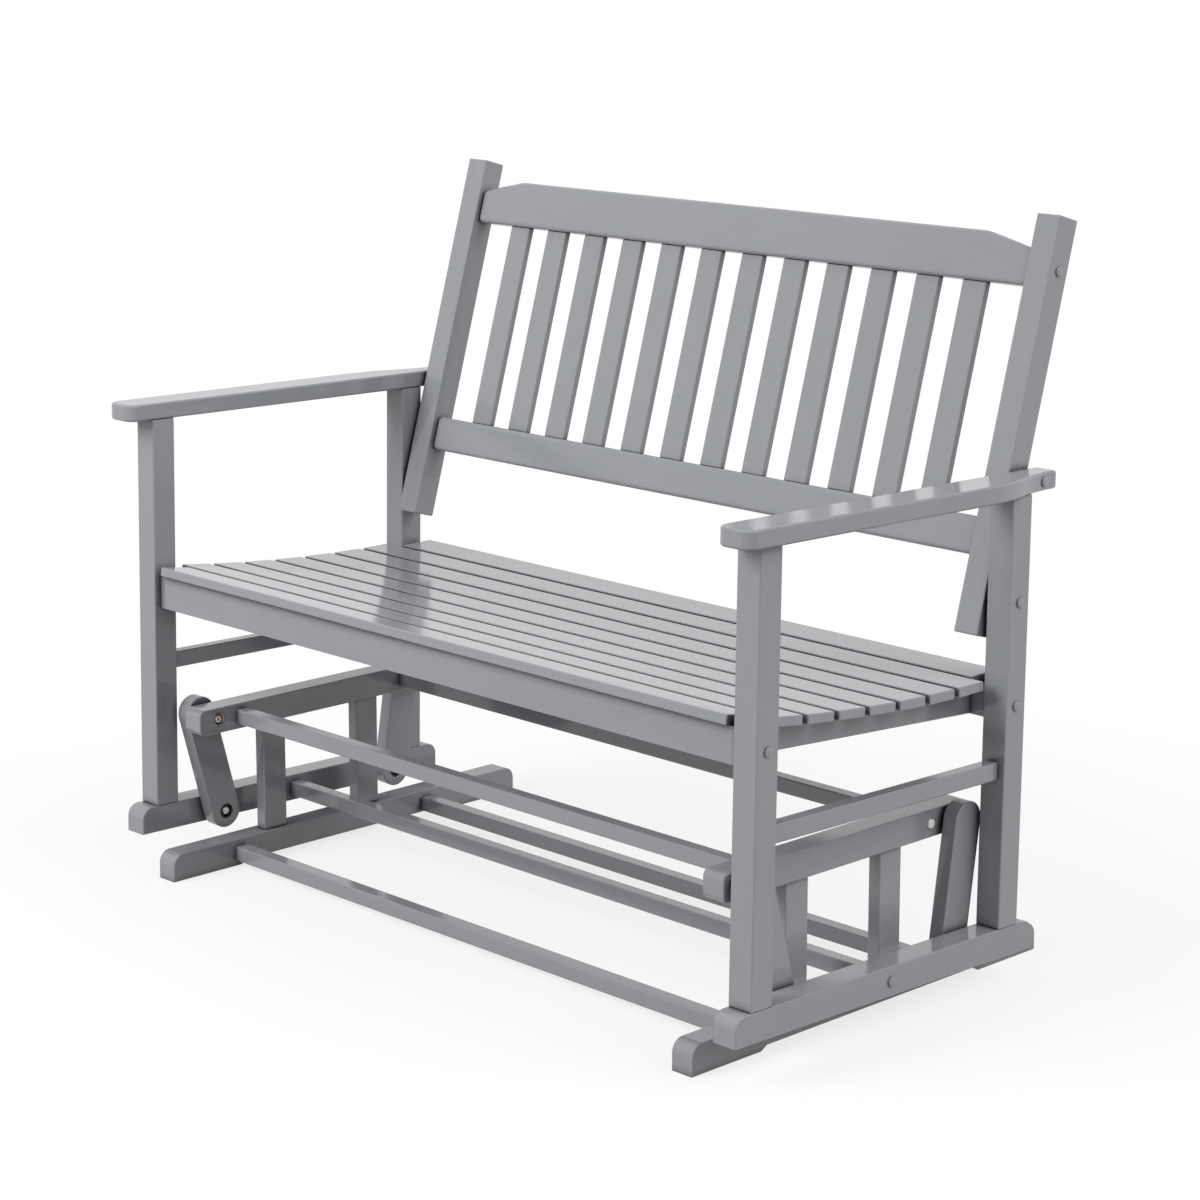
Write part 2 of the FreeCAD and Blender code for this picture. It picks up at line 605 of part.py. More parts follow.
slat_count = round(value(S.slat_count))
slat_pitch = "((%s + %s - %s) / %d)" % (S.frame_depth, S.slat_overhang, S.rear_slat_wide, slat_count - 1)
for number in range(slat_count):
    last = number == slat_count - 1
    wide = S.rear_slat_wide if last else S.slat_wide
    long = S.end_slat_long if number == 0 or last else S.slat_long
    middle = "(%d * %s + %s / 2)" % (number, slat_pitch, wide)
    turn = "asin((%s - %s) / %s)" % (middle, S.seat_low_place, RAIL_CURVE)
    place = "(%s + %s * sin(%s))" % (S.seat_low_place, SLAT_SEAT, turn)
    level = "(%s - %s * cos(%s))" % (CURVE_AXIS, SLAT_SEAT, turn)
    frame = Frame(*SEAT.spot(place, level), "(%s + %s)" % (turn, LEAN))
    keep(board("seat_slat_%d" % (number + 1),
               ("-%s / 2" % long, "-%s / 2" % wide, "0"),
               (long, wide, S.slat_thick), frame))

# Back: two stiles, a lower rail, a crest rail with sloping shoulders and upright slats
RAIL_SET = "((%s - %s) / 2)" % (S.stile_deep, S.back_rail_thick)
SLAT_SET = "((%s - %s) / 2)" % (S.stile_deep, S.back_slat_thick)
STILE_SPACERS = {
    "low": BACK.inside(*SEAT.spot("(%s + %s / 2)" % (REAR_POST, S.post_side), S.stile_screw_level)),
    "high": BACK.inside(*SEAT.spot(
        "(%s + %s)" % (S.frame_depth, S.armrest_screw_behind),
        "(%s + %s / 2)" % (ARMREST_LOW, S.armrest_thick))),
}
for side, name in SIDES:
    start, thick = across(side, STILE_IN, STILE_OUT)
    stile = keep(board("stile_" + name, (start, "0", "0"), (thick, S.stile_deep, S.stile_long), BACK))
    start, length = across(side, STILE_OUT, POST_IN)
    for spot, (place, level) in STILE_SPACERS.items():
        rod(stile, "Additive", spot + "_spacer", start, length, place, level, S.stile_spacer)
LOWER_RAIL_TOP = "(%s + %s)" % (S.lower_rail_level, S.lower_rail_high)
LOWER_RAIL_OUTLINE = four_corners("-" + STILE_IN, STILE_IN, S.lower_rail_level, LOWER_RAIL_TOP)
keep(shaped("lower_back_rail", "y", LOWER_RAIL_OUTLINE, RAIL_SET, S.back_rail_thick, BACK,
            rounds=dict.fromkeys(LOWER_RAIL_OUTLINE, S.lower_rail_round), bevel=S.crest_bevel))

CREST_TOP = "(%s + %s)" % (S.crest_level, S.crest_high)
CREST_END = "(%s + %s)" % (S.crest_level, S.crest_end_high)
SHOULDER = "(%s - %s)" % (STILE_IN, S.crest_slope_long)
CREST_OUTLINE = {
    "low_left": ("-" + STILE_IN, S.crest_level),
    "low_right": (STILE_IN, S.crest_level),
    "end_right": (STILE_IN, CREST_END),
    "shoulder_right": (SHOULDER, CREST_TOP),
    "shoulder_left": ("-" + SHOULDER, CREST_TOP),
    "end_left": ("-" + STILE_IN, CREST_END),
}
crest_rounds = dict.fromkeys(CREST_OUTLINE, S.crest_round)
crest_rounds.update(shoulder_left=S.shoulder_round, shoulder_right=S.shoulder_round)
keep(shaped("crest_rail", "y", CREST_OUTLINE, RAIL_SET, S.back_rail_thick, BACK,
            rounds=crest_rounds, bevel=S.crest_bevel))

back_slat_count = round(value(S.back_slat_count))
for number in range(back_slat_count):
    offset = number - (back_slat_count - 1) / 2
    middle = "(%s * %s)" % (offset, S.back_slat_pitch)
    keep(board("back_slat_%d" % (number + 1),
               ("%s - %s / 2" % (middle, S.back_slat_wide), SLAT_SET, LOWER_RAIL_TOP),
               (S.back_slat_wide, S.back_slat_thick, "%s - %s" % (S.crest_level, LOWER_RAIL_TOP)),
               BACK, S.slat_bevel))


# Fasteners: pivot bolts, each with a spacer ring between the arm and the wood beside it
def bolt(label, side, frame, head_start, head_high, shank_end, place, level):
    """A pivot bolt along X: a flat head towards the middle of the bench and a plain shank."""
    body = new_body(label, frame)
    head_end = "(%s + %s)" % (head_start, head_high)
    start, length = across(side, head_start, head_end)
    rod(body, "Additive", "head", start, length, place, level, S.pivot_head_radius)
    start, length = across(side, head_end, shank_end)
    rod(body, "Additive", "shank", start, length, place, level, S.pivot_radius)
    return body


def spacer(label, side, frame, near, far, place, level):
    """A ring on a pivot bolt that keeps the arm off the wood beside it."""
    body = new_body(label, frame)
    start, length = across(side, near, far)
    rod(body, "Additive", "ring", start, length, place, level, S.spacer_radius)
    bore(body, "hole", start, length, place, level, "%s + %s" % (S.pivot_radius, S.fixed_fit))
    return body


def group(label, pieces):
    """Fasteners of one kind, kept together as separate solids."""
    together = doc.addObject("Part::Compound", label)
    together.Label = label
    together.Links = pieces
    keep(together)


upper_bolts, front_bolts, rear_bolts = [], [], []
LOWER_SINK_FLOOR = "(%s + %s)" % (ARM_IN, S.lower_sink_deep)
LOWER_SHANK_END = "(%s + %s - %s)" % (POST_IN, S.runner_hole, S.side_gap)
LOWER_FRONT_LEVEL = hanging_level(UPPER_FRONT, LOWER_FRONT)
for side, name in SIDES:
    for end, (upper, lower, frame) in PIVOTS.items():
        upper_bolts.append(bolt(
            "upper_bolt_%s_%s" % (end, name), side, BENCH, BASE_IN, S.pivot_head_high,
            "(%s - %s - %s)" % (ARM_OUT, S.arm_skin, S.side_gap), upper, PIVOT_LEVEL))
        upper_bolts.append(spacer(
            "upper_spacer_%s_%s" % (end, name), side, BENCH, BASE_OUT,
            "(%s - %s)" % (ARM_IN, S.side_gap), upper, PIVOT_LEVEL))
    front_bolts.append(bolt(
        "lower_bolt_front_" + name, side, BENCH,
        "(%s - %s - %s)" % (LOWER_SINK_FLOOR, S.side_gap, S.pivot_head_high), S.pivot_head_high,
        LOWER_SHANK_END, LOWER_FRONT, LOWER_FRONT_LEVEL))
    front_bolts.append(spacer(
        "lower_spacer_front_" + name, side, BENCH, "(%s + %s)" % (ARM_OUT, S.side_gap), POST_IN,
        LOWER_FRONT, LOWER_FRONT_LEVEL))
    rear_bolts.append(bolt(
        "lower_bolt_rear_" + name, side, REAR_ARM,
        "(%s - %s)" % (LOWER_SINK_FLOOR, S.pivot_head_high), S.pivot_head_high,
        LOWER_SHANK_END, "0", "-" + S.arm_long))
    rear_bolts.append(spacer(
        "lower_spacer_rear_" + name, side, REAR_ARM, ARM_OUT, "(%s - %s)" % (POST_IN, S.side_gap),
        "0", "-" + S.arm_long))
group("upper_pivot_bolts", upper_bolts)
group("lower_front_bolts", front_bolts)
group("lower_rear_bolts", rear_bolts)

doc.recompute()
for item in doc.Objects:
    assert "Invalid" not in item.State and "Error" not in item.State, "%s failed" % item.Label
os.makedirs("parts", exist_ok=True)
for piece in nodes:
    assert not piece.Shape.isNull() and piece.Shape.isValid(), "%s has no valid shape" % piece.Label
    piece.Shape.exportStep("parts/%s.step" % piece.Label)
print("%d nodes, %d solids" % (len(nodes), sum(len(piece.Shape.Solids) for piece in nodes)))
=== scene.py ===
# %% [markdown]
# # A painted glider bench
# The bench is made of sawn boards under one coat of grey paint, and its seat frame hangs on
# swing arms inside a low base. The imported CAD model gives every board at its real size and
# place, so this lesson adds what CAD leaves out: paint that shows a little of the wood under
# it, screw plugs, the detailed pivot bolts, light, a floor and a camera.

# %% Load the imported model
import math

import bmesh
import bpy
from mathutils import Matrix, Vector


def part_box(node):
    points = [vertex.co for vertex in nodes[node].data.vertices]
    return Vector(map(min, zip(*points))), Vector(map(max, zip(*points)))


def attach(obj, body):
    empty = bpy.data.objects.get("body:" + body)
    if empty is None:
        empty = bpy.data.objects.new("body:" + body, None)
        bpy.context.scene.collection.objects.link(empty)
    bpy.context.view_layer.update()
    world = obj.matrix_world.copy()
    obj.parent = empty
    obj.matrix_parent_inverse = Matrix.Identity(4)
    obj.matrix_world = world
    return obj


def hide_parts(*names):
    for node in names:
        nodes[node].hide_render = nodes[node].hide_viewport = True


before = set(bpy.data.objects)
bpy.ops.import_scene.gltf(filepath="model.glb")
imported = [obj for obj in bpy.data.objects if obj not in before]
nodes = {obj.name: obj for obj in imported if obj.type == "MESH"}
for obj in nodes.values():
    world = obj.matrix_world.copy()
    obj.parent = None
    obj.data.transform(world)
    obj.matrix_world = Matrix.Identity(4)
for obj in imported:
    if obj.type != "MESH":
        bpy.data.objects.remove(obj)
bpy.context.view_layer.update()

MM = 0.001
scene = bpy.context.scene

# %% [markdown]
# A node's mesh already stands in its place, in metres, so most places are read from the boxes
# of the boards. Three measures of the real bench are needed again here, because a leaning
# board's box doesn't show them: the lean of the back, the lean of the hanging seat frame and
# the ease of the sawn edges.

# %% Measures that pieces share
LEFT, RIGHT = -1, 1
SIDES = ((LEFT, "left"), (RIGHT, "right"))
BACK_LEAN = math.radians(15)
SEAT_LEAN = math.radians(1)
EDGE_EASE = 0.8 * MM


def middle_of(node):
    """The middle of a CAD node's box."""
    low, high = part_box(node)
    return (low + high) / 2


print("middle of the crest rail:", [round(c, 3) for c in middle_of("crest_rail")])

# %% [markdown]
# A node tree could be wired by hand in the shader editor. In a script, three short helpers do
# the same: one opens a node group with named sockets, one adds a node and sets its values, and
# one draws a link.


# %% Helpers for node trees
def make_group(name, inputs, outputs):
    """An empty shader node group with named sockets."""
    group = bpy.data.node_groups.new(name, "ShaderNodeTree")
    for label, kind, value in inputs:
        socket = group.interface.new_socket(label, in_out="INPUT", socket_type=kind)
        if value is not None:
            socket.default_value = value
    for label, kind in outputs:
        group.interface.new_socket(label, in_out="OUTPUT", socket_type=kind)
    return group, group.nodes.new("NodeGroupInput"), group.nodes.new("NodeGroupOutput")


def add_node(tree, kind, settings=None, values=None):
    """A node with its settings and the values of its unlinked sockets."""
    node = tree.nodes.new(kind)
    for name, value in (settings or {}).items():
        setattr(node, name, value)
    for socket, value in (values or {}).items():
        node.inputs[socket].default_value = value
    return node


def link(tree, source, output, target, socket):
    """A link from a node's output to another node's input."""
    tree.links.new(source.outputs[output], target.inputs[socket])


# %% [markdown]
# The real paint is smooth. Close up it shows faint streaks, where the grain of the board lifts
# the film by a few hundredths of a millimetre, and a slight change of tone from one part of a
# board to the next. A picture of wood would have to be wrapped round every board, so the
# streaks come from noise instead: noise that is stretched along the board looks like grain.
# The Bevel node rounds the shading where two faces meet, on top of the eased edges that the
# boards really have, and gives each edge the thin light line that a brushed edge shows.
# Deep in a gap between two boards and in the corners where boards meet, the colour is darkened as
# painted shade, wherever the Ambient Occlusion node finds another board a few millimetres away.
# One node group makes all of it, and each paint gives it its own values.

# %% What the paint group works with
STREAK_SCALE, STREAK_DETAIL, STREAK_ROUGHNESS = 7.0, 4.0, 0.62
CLOUD_SCALE, CLOUD_DETAIL, CLOUD_ROUGHNESS = 5.0, 2.0, 0.5
TINT_FROM, TINT_TO = 0.32, 0.68
DULL_FROM, DULL_TO = 0.3, 0.7
DULL_SWING = 0.03
FILM_RELIEF = 0.25 * MM
# Painted shade in gaps and inside corners, from the Ambient Occlusion node: its reach, tones and
# samples.
PAINTED_SHADE_REACH = 14 * MM
PAINTED_SHADE_TONES = ((0.25, 0.06), (0.48, 0.50), (0.88, 1.0))
PAINTED_SHADE_SAMPLES, EDGE_SAMPLES = 6, 8


# %% The paint group
def add_noise(group, source, output, scale, detail, roughness):
    """A noise texture that reads its place from another node."""
    noise = add_node(group, "ShaderNodeTexNoise", values={
        "Scale": scale, "Detail": detail, "Roughness": roughness})
    link(group, source, output, noise, "Vector")
    return noise


def add_tint(group, given, streaks, clouds):
    """The paint's colour, which changes a little with the streaks and the clouds."""
    both = add_node(group, "ShaderNodeMix", {"data_type": "FLOAT"}, {"Factor": 0.5})
    link(group, streaks, "Fac", both, "A")
    link(group, clouds, "Fac", both, "B")
    spread = add_node(group, "ShaderNodeMapRange", values={
        "From Min": TINT_FROM, "From Max": TINT_TO, "To Min": 0.0, "To Max": 1.0})
    link(group, both, "Result", spread, "Value")
    tint = add_node(group, "ShaderNodeMix", {"data_type": "RGBA"})
    link(group, spread, "Result", tint, "Factor")
    shade, colour = [socket for socket in tint.inputs if socket.type == "RGBA"]
    group.links.new(given.outputs["Shade"], shade)
    group.links.new(given.outputs["Colour"], colour)
    return [socket for socket in tint.outputs if socket.type == "RGBA"][0]


def add_painted_gap_shade(group, given):
    """Painted shade: a grey that is white on open faces and darkens the paint where another board
    is close.
    """
    near = add_node(group, "ShaderNodeAmbientOcclusion", {"samples": PAINTED_SHADE_SAMPLES},
                    {"Distance": PAINTED_SHADE_REACH})
    closed = add_node(group, "ShaderNodeMath", {"operation": "POWER"})
    link(group, near, "AO", closed, 0)
    link(group, given, "Painted Shade Power", closed, 1)
    painted_shade_ramp = add_node(group, "ShaderNodeValToRGB")
    stops = painted_shade_ramp.color_ramp.elements
    for stop, (position, tone) in zip((stops[0], stops[1]), (PAINTED_SHADE_TONES[0], PAINTED_SHADE_TONES[-1])):
        stop.position = position
        stop.color = (tone, tone, tone, 1)
    for position, tone in PAINTED_SHADE_TONES[1:-1]:
        stops.new(position).color = (tone, tone, tone, 1)
    link(group, closed, "Value", painted_shade_ramp, "Fac")
    return painted_shade_ramp


def add_gloss(group, given, clouds):
    """The paint's roughness, which changes a little with the clouds."""
    dull = add_node(group, "ShaderNodeMapRange", values={
        "From Min": DULL_FROM, "From Max": DULL_TO, "To Min": -DULL_SWING, "To Max": DULL_SWING})
    link(group, clouds, "Fac", dull, "Value")
    gloss = add_node(group, "ShaderNodeMath", {"operation": "ADD"})
    link(group, given, "Gloss", gloss, 0)
    link(group, dull, "Result", gloss, 1)
    return gloss


def add_film(group, given, streaks):
    """The normal of the paint film: rounded edges, with the streaks as a faint relief."""
    soft = add_node(group, "ShaderNodeBevel", {"samples": EDGE_SAMPLES})
    link(group, given, "Edge", soft, "Radius")
    relief = add_node(group, "ShaderNodeBump", values={"Distance": FILM_RELIEF})
    link(group, given, "Relief", relief, "Strength")
    link(group, streaks, "Fac", relief, "Height")
    link(group, soft, "Normal", relief, "Normal")
    return relief


def make_paint_group():
    """Colour, roughness and normal of painted wood, from streaked and cloudy noise, with painted
    shade near other boards.
    """
    group, given, result = make_group(
        "painted_wood_surface",
        [("Colour", "NodeSocketColor", None), ("Shade", "NodeSocketColor", None),
         ("Stretch", "NodeSocketVector", None), ("Gloss", "NodeSocketFloat", 0.2),
         ("Relief", "NodeSocketFloat", 0.1), ("Edge", "NodeSocketFloat", EDGE_EASE),
         ("Painted Shade Power", "NodeSocketFloat", 1.0)],
        [("Colour", "NodeSocketColor"), ("Roughness", "NodeSocketFloat"),
         ("Normal", "NodeSocketVector")])
    place = add_node(group, "ShaderNodeTexCoord")
    along = add_node(group, "ShaderNodeMapping")
    link(group, place, "Object", along, "Vector")
    link(group, given, "Stretch", along, "Scale")
    streaks = add_noise(group, along, "Vector", STREAK_SCALE, STREAK_DETAIL, STREAK_ROUGHNESS)
    clouds = add_noise(group, place, "Object", CLOUD_SCALE, CLOUD_DETAIL, CLOUD_ROUGHNESS)
    tint_with_painted_shade = add_node(group, "ShaderNodeVectorMath", {"operation": "MULTIPLY"})
    group.links.new(add_tint(group, given, streaks, clouds), tint_with_painted_shade.inputs[0])
    # The colour is multiplied by the painted shade of the gaps.
    link(group, add_painted_gap_shade(group, given), "Color", tint_with_painted_shade, 1)
    link(group, tint_with_painted_shade, "Vector", result, "Colour")
    link(group, add_gloss(group, given, clouds), "Value", result, "Roughness")
    link(group, add_film(group, given, streaks), "Normal", result, "Normal")
    return group


PAINT = make_paint_group()
print("group:", PAINT.name, len(PAINT.nodes), "nodes")

# %% [markdown]
# The paint is a cool mid grey with a satin gloss. On tops seen at a low angle it mirrors its
# surroundings, which is what a smooth dielectric does, so the Principled shader's own Fresnel
# makes those bright bands and no light has to be painted in. The boards differ in two ways:
# how far their edges are rounded, and how deep the painted shade in the gaps beside them is.
# The seat slats lie a few millimetres apart, and the front apron starts right under the first
# of them, so their gaps get the deepest painted shade.

# %% Paint materials, one for each direction of the grain and kind of board
PAINT_COLOUR = (0.322, 0.331, 0.350, 1)
PAINT_SHADE = (0.300, 0.309, 0.327, 1)
PAINT_GLOSS = 0.13
PAINT_RELIEF = 0.13
PAINT_IOR = 1.5
ALONG, ACROSS = 1.0, 14.0
GRAIN = {
    "x": (ALONG, ACROSS, ACROSS),
    "y": (ACROSS, ALONG, ACROSS),
    "z": (ACROSS, ACROSS, ALONG),
}
SOFT_EDGE, ROUND_EDGE = 2.4 * MM, 7 * MM
# How deep the painted shade in the gaps beside a board is: plain, or deeper for seat slats and
# the front apron.
PLAIN_PAINTED_SHADE, DEEP_PAINTED_SHADE = 1.0, 2.4
KINDS = {
    "sawn": (EDGE_EASE, PLAIN_PAINTED_SHADE),
    "slat": (EDGE_EASE, DEEP_PAINTED_SHADE),
    "soft": (SOFT_EDGE, PLAIN_PAINTED_SHADE),
    "rounded": (ROUND_EDGE, PLAIN_PAINTED_SHADE),
}


def make_paint(direction, kind):
    """Grey paint over wood whose grain runs along an axis, for boards of one kind."""
    # Each kind gives an edge rounding and a power on the painted gap shade.
    edge, painted_shade_power = KINDS[kind]
    material = bpy.data.materials.new("grey_paint_grain_%s_%s" % (direction, kind))
    material.use_nodes = True
    tree = material.node_tree
    shader = tree.nodes["Principled BSDF"]
    shader.inputs["IOR"].default_value = PAINT_IOR
    surface = add_node(tree, "ShaderNodeGroup", {"node_tree": PAINT}, {
        "Colour": PAINT_COLOUR, "Shade": PAINT_SHADE, "Stretch": GRAIN[direction],
        "Gloss": PAINT_GLOSS, "Relief": PAINT_RELIEF, "Edge": edge, "Painted Shade Power": painted_shade_power})
    link(tree, surface, "Colour", shader, "Base Color")
    link(tree, surface, "Roughness", shader, "Roughness")
    link(tree, surface, "Normal", shader, "Normal")
    return material


paints = {(direction, kind): make_paint(direction, kind) for direction in GRAIN for kind in KINDS}
print("paints:", sorted(material.name for material in paints.values()))

# %% [markdown]
# Each board takes the paint whose grain runs along it. The direction could be written down for
# every board, but a board's longest side already tells it, and a leaning slat is near enough
# to upright. The bolts are left out, because pieces made further down stand for them.

# %% Paint the boards
BOLT_NODES = ("upper_pivot_bolts", "lower_front_bolts", "lower_rear_bolts")
BOARD_KINDS = {
    "front_apron": "slat",
    "crest_rail": "rounded",
    "lower_back_rail": "rounded",
    "armrest_left": "soft",
    "armrest_right": "soft",
    "stile_left": "soft",
    "stile_right": "soft",
}


def longest_side(node):
    """The axis along which a node's box is longest."""
    low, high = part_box(node)
    size = high - low
    return "xyz"[max(range(3), key=lambda axis: size[axis])]


def kind_of(name):
    """Seat slats have dark gaps, some boards are named above, and the others are plain."""
    if name.startswith("seat_slat"):
        return "slat"
    return BOARD_KINDS.get(name, "sawn")


for name, node in nodes.items():
    if name not in BOLT_NODES:
        node.data.materials.clear()
        node.data.materials.append(paints[longest_side(name), kind_of(name)])
print("painted boards:", len(nodes) - len(BOLT_NODES))

# %% [markdown]
# The hardware is small, so its finishes are simple: a tint and a dullness that change in small
# patches, as plating and moulded plastic do. A scanned metal would show nothing more at this
# size. Bolt ends are silver zinc, the screws have a bronze tint, their washers are darker, the
# bushes are black, and the caps on the hanger rails are glossy white plastic.

# %% Finishes of the small parts
PATCH_SCALE, PATCH_DETAIL = 320.0, 4.0
PATCH_FROM, PATCH_TO = 0.35, 0.65
METAL, PLASTIC = 1.0, 0.0
FINISHES = {
    "zinc_plated_steel": ((0.36, 0.33, 0.31, 1), (0.66, 0.62, 0.59, 1), METAL, 0.18, 0.34),
    "yellow_plated_steel": ((0.30, 0.25, 0.22, 1), (0.72, 0.65, 0.60, 1), METAL, 0.16, 0.36),
    "burnished_steel": ((0.06, 0.054, 0.05, 1), (0.33, 0.29, 0.26, 1), METAL, 0.25, 0.45),
    "black_bush": ((0.012, 0.012, 0.013, 1), (0.022, 0.022, 0.024, 1), PLASTIC, 0.35, 0.5),
    "white_plastic": ((0.90, 0.90, 0.90, 1), (0.95, 0.95, 0.95, 1), PLASTIC, 0.10, 0.18),
}


def make_patchy(name, dark, light, metallic, dull_low, dull_high):
    """A finish whose tint and dullness change in small patches."""
    material = bpy.data.materials.new(name)
    material.use_nodes = True
    tree = material.node_tree
    shader = tree.nodes["Principled BSDF"]
    shader.inputs["Metallic"].default_value = metallic
    place = add_node(tree, "ShaderNodeTexCoord")
    patches = add_node(tree, "ShaderNodeTexNoise", values={
        "Scale": PATCH_SCALE, "Detail": PATCH_DETAIL})
    link(tree, place, "Object", patches, "Vector")
    tint = add_node(tree, "ShaderNodeValToRGB")
    for stop, position, colour in zip(
            tint.color_ramp.elements, (PATCH_FROM, PATCH_TO), (dark, light)):
        stop.position = position
        stop.color = colour
    link(tree, patches, "Fac", tint, "Fac")
    link(tree, tint, "Color", shader, "Base Color")
    dull = add_node(tree, "ShaderNodeMapRange", values={"To Min": dull_low, "To Max": dull_high})
    link(tree, patches, "Fac", dull, "Value")
    link(tree, dull, "Result", shader, "Roughness")
    return material


zinc, bronze, burnished, black, white_cap = [
    make_patchy(name, *values) for name, values in FINISHES.items()]
print("finishes:", ", ".join(FINISHES))

# %% [markdown]
# Screws, rings and plugs are all turned shapes: a profile of radius and height, swept round an
# axis. Each could be built from primitives, but a profile is closer to how a lathe or a mould
# makes them, and one function does the sweep for all. A profile that starts at radius 0 makes
# a solid, and one that starts away from the axis closes on itself and makes a ring.

# %% Turned shapes
TURN_SIDES = 40
SHARP_ANGLE = math.radians(32)


def seat_at(place, facing):
    """The matrix that stands a shape at a place, with its Z axis along facing."""
    return Matrix.Translation(place) @ Vector(facing).to_track_quat("Z", "Y").to_matrix().to_4x4()


def turn(mesh, profile, place, facing, finish=0):
    """Adds a shape turned round the line through place along facing, from millimetres."""
    seat = seat_at(place, facing)
    rings = []
    for radius, height in profile:
        count = TURN_SIDES if radius else 1
        angles = [math.tau * step / count for step in range(count)]
        rings.append([mesh.verts.new(seat @ Vector((
            radius * MM * math.cos(angle), radius * MM * math.sin(angle), height * MM)))
            for angle in angles])
    if profile[0][0]:
        rings.append(rings[0])
    for near, far in zip(rings, rings[1:]):
        for step in range(TURN_SIDES):
            after = (step + 1) % TURN_SIDES
            corners = [near[step % len(near)], near[after % len(near)],
                       far[after % len(far)], far[step % len(far)]]
            face = mesh.faces.new(list(dict.fromkeys(corners)))
            face.smooth = True
            face.material_index = finish


def piece_from(mesh, name, finishes):
    """A scene object from a finished mesh, smooth except at its real edges."""
    bmesh.ops.recalc_face_normals(mesh, faces=mesh.faces)
    data = bpy.data.meshes.new(name)
    mesh.to_mesh(data)
    mesh.free()
    data.set_sharp_from_angle(angle=SHARP_ANGLE)
    for finish in finishes:
        data.materials.append(finish)
    piece = bpy.data.objects.new(name, data)
    scene.collection.objects.link(piece)
    return piece


# %% [markdown]
# A cross recess is pressed into the head of a screw. Its slopes could be modelled face by
# face, but cutting is nearer to how it is made: a Boolean modifier takes away a cutter of two
# crossed wedges that get narrower towards the bottom, and the result is kept as the mesh.

# %% Cross recesses
CORNERS = ((-1, -1), (1, -1), (1, 1), (-1, 1))
TAPER = 0.45


def add_cross(cutter, place, facing, reach, wide, deep):
    """Two crossed wedges that taper from the face of a screw head to the recess floor."""
    seat = seat_at(place, facing)
    for along, across in ((reach, wide), (wide, reach)):
        low = [cutter.verts.new(seat @ Vector((x * along * TAPER, y * across * TAPER, -deep)))
               for x, y in CORNERS]
        high = [cutter.verts.new(seat @ Vector((x * along, y * across, deep)))
                for x, y in CORNERS]
        cutter.faces.new(low)
        cutter.faces.new(high)
        for step in range(len(CORNERS)):
            after = (step + 1) % len(CORNERS)
            cutter.faces.new((low[step], low[after], high[after], high[step]))


def cut(piece, cutter_mesh):
    """Takes the cutter's shape out of a piece."""
    cutter = piece_from(cutter_mesh, "recess_cutter", [])
    modifier = piece.modifiers.new("recess", "BOOLEAN")
    modifier.operation = "DIFFERENCE"
    modifier.solver = "EXACT"
    modifier.use_self = True
    modifier.object = cutter
    bpy.context.view_layer.update()
    shaped = piece.evaluated_get(bpy.context.evaluated_depsgraph_get())
    result = bpy.data.meshes.new_from_object(shaped)
    piece.modifiers.clear()
    piece.data = result
    bpy.data.objects.remove(cutter)


# %% [markdown]
# A plug covers each screw that holds the seat frame together. It is a shallow dome on a short
# straight side, painted with the boards. Its place could be written down, but a ray shot at
# the board from outside finds it, so the plug sits on the face wherever the board leans or
# tapers.

# %% Where the screws are
STILE_SCREW_LEVEL = 477.5 * MM
CREST_SCREW_RISE = 189 * MM
ARMREST_SCREW_INSET = 24 * MM
RAY_START = 1.0


def on_face(node, side, y, z):
    """The point and the normal where a node's outer face is met from outside."""
    start = Vector((side * RAY_START, y, z))
    hit, place, normal, _ = nodes[node].ray_cast(start, Vector((-side, 0, 0)))
    if not hit:
        raise ValueError("nothing to hold a plug on " + node)
    return place, normal


def screw_places(name):
    """The board and the place of every plug on one side of the seat frame."""
    post = middle_of("post_rear_" + name)
    stile = middle_of("stile_" + name)
    arm = middle_of("armrest_" + name)
    arm_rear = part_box("armrest_" + name)[1].y - ARMREST_SCREW_INSET
    lean = BACK_LEAN + SEAT_LEAN
    cross, front, rear = (middle_of(node) for node in ("cross_bar", "front_apron", "rear_apron"))
    return (
        ("runner_" + name, cross.y, cross.z),
        ("post_front_" + name, front.y, front.z),
        ("post_rear_" + name, rear.y, rear.z),
        ("post_rear_" + name, post.y + math.tan(SEAT_LEAN) * (STILE_SCREW_LEVEL - post.z),
         STILE_SCREW_LEVEL),
        ("armrest_" + name, arm_rear, arm.z - math.tan(SEAT_LEAN) * (arm_rear - arm.y)),
        ("stile_" + name, stile.y + CREST_SCREW_RISE * math.sin(lean),
         stile.z + CREST_SCREW_RISE * math.cos(lean)),
    )


# %% Painted plugs
PLUG = ((0, -0.5), (6.0, -0.5), (6.0, 1.6), (5.75, 2.1), (5.0, 2.5), (3.5, 2.8), (1.8, 2.95),
        (0, 3.0))


def make_plugs(label, side, places, finish, body):
    """The plugs on one side of the bench that share a body and a finish."""
    mesh = bmesh.new()
    for node, y, z in places:
        place, normal = on_face(node, side, y, z)
        turn(mesh, PLUG, place, normal)
    plugs = piece_from(mesh, label, [finish])
    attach(plugs, body)
    print(plugs.name, len(plugs.data.polygons), "faces")
    return plugs


bpy.context.view_layer.update()
for side, name in SIDES:
    plugs = make_plugs("screw_plugs_" + name, side, screw_places(name), paints["y", "sawn"],
                       "seat_frame")

# %% [markdown]
# The screws of the upper stretchers go through the hanger rails. They end under push-in caps
# of glossy white plastic, which have the shape of the painted plugs and no paint, so the same
# function makes them.

# %% White caps
for side, name in SIDES:
    boards = [middle_of("upper_stretcher_" + end) for end in ("front", "rear")]
    places = [("hanger_rail_" + name, board.y, board.z) for board in boards]
    make_plugs("stretcher_caps_" + name, side, places, white_cap, "base")

# %% [markdown]
# The pivots show different ends. Each upper one is a bronze-coloured screw in a cup washer,
# sunk in the hanger rail. Each lower one is a silver bolt end inside a black bush, sunk in
# the arm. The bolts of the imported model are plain, so these pieces stand for them and keep
# their places: the upper bolts stay with the base, the front lower ones turn with the seat
# frame and the rear lower ones with the rear arms.

